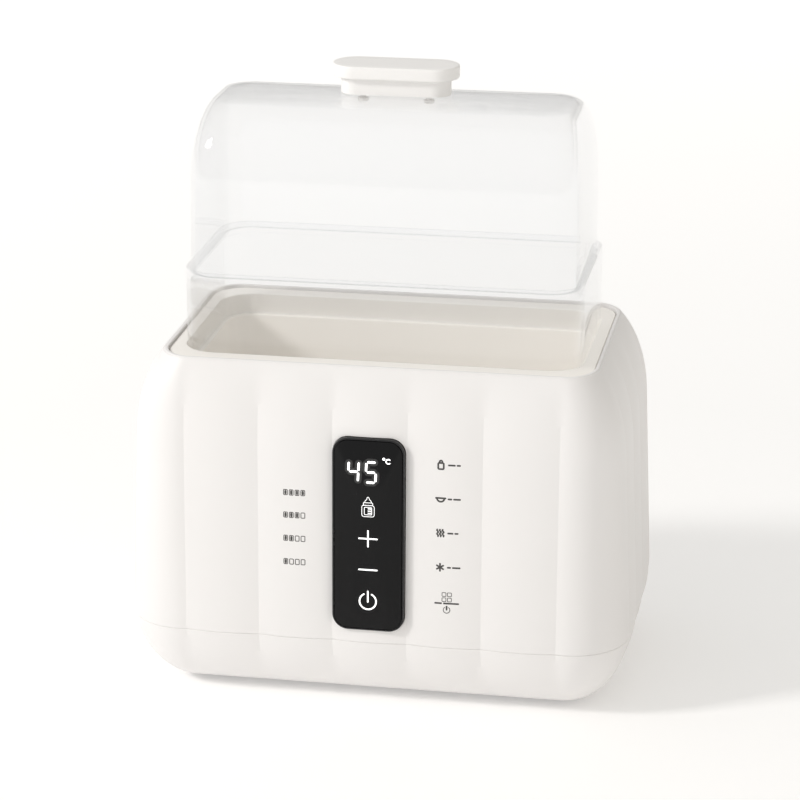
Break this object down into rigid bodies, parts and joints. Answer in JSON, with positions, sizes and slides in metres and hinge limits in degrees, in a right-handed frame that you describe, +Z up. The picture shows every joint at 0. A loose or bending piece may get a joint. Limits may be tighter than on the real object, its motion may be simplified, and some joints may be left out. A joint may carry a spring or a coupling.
{
  "type": "bottle steriliser and warmer",
  "caption": "Countertop feeding-bottle steriliser with a fluted cream body, black touch panel, clear collar, clear domed lid and lift-out bottle basket.",
  "frame": {"origin": "middle of the footprint, on the surface the feet stand on", "axes": "+Z up, front with the touch panel towards -Y, +X along the wide side"},
  "size_m": [0.263, 0.1652, 0.323],
  "materials": {
    "cream_plastic": "fine matt",
    "liner_plastic": "satin",
    "clear_plastic": "clear, polished",
    "black_glass": "printed behind, gloss",
    "black_plastic": "gloss",
    "foot_rubber": "matt",
    "silicone": "satin",
    "coated_aluminium": "dark non-stick coat",
    "steel": "plain",
    "brass": "plain",
    "circuit_board": "solder mask",
    "component_black": "moulded",
    "lead_insulation": "sleeved"
  },
  "bodies": {
    "base": {"base_screw_1": "steel", "base_screw_2": "steel", "base_screw_3": "steel", "base_screw_4": "steel", "base_shell": "cream_plastic", "board_clip_1": "steel", "board_clip_2": "steel", "board_screw_1": "steel", "board_screw_2": "steel", "board_screw_3": "steel", "board_screw_4": "steel", "buzzer": "component_black", "clamp_ring": "steel", "clamp_screw_1": "steel", "clamp_screw_2": "steel", "clamp_screw_3": "steel", "clamp_screw_4": "steel", "display_board": "circuit_board", "display_lead": "component_black", "display_module": "component_black", "filter_capacitor": "component_black", "foot_1": "foot_rubber", "foot_2": "foot_rubber", "foot_3": "foot_rubber", "foot_4": "foot_rubber", "heater_element": "steel", "heater_lead_1": "lead_insulation", "heater_lead_2": "lead_insulation", "heating_plate": "coated_aluminium", "housing_shell": "cream_plastic", "inlet_pin_1": "brass", "inlet_pin_2": "brass", "lead_terminal": "cream_plastic", "mains_inlet": "component_black", "mains_lead_1": "lead_insulation", "mains_lead_2": "lead_insulation", "ntc_sensor": "steel", "panel_frame": "black_plastic", "plate_seal": "silicone", "power_board": "circuit_board", "power_relay": "component_black", "power_transformer": "component_black", "tank_liner": "liner_plastic", "thermal_fuse": "steel", "thermostat": "component_black", "touch_pad_minus": "component_black", "touch_pad_plus": "component_black", "touch_pad_power": "component_black", "touch_panel": "black_glass"},
    "collar": {"collar": "clear_plastic"},
    "lid": {"lid_shell": "clear_plastic", "lid_handle": "cream_plastic", "handle_pin_1": "cream_plastic", "handle_pin_2": "cream_plastic"},
    "basket": {"bottle_basket": "liner_plastic"}
  },
  "joints": [
    {"name": "collar_lift", "type": "slide", "parent": "base", "child": "collar", "axis": [0, 0, 1], "range_m": [0, 0.06]},
    {"name": "lid_lift", "type": "slide", "parent": "collar", "child": "lid", "axis": [0, 0, 1], "range_m": [0, 0.1]},
    {"name": "basket_lift", "type": "slide", "parent": "base", "child": "basket", "axis": [0, 0, 1], "range_m": [0, 0.145]}
  ]
}
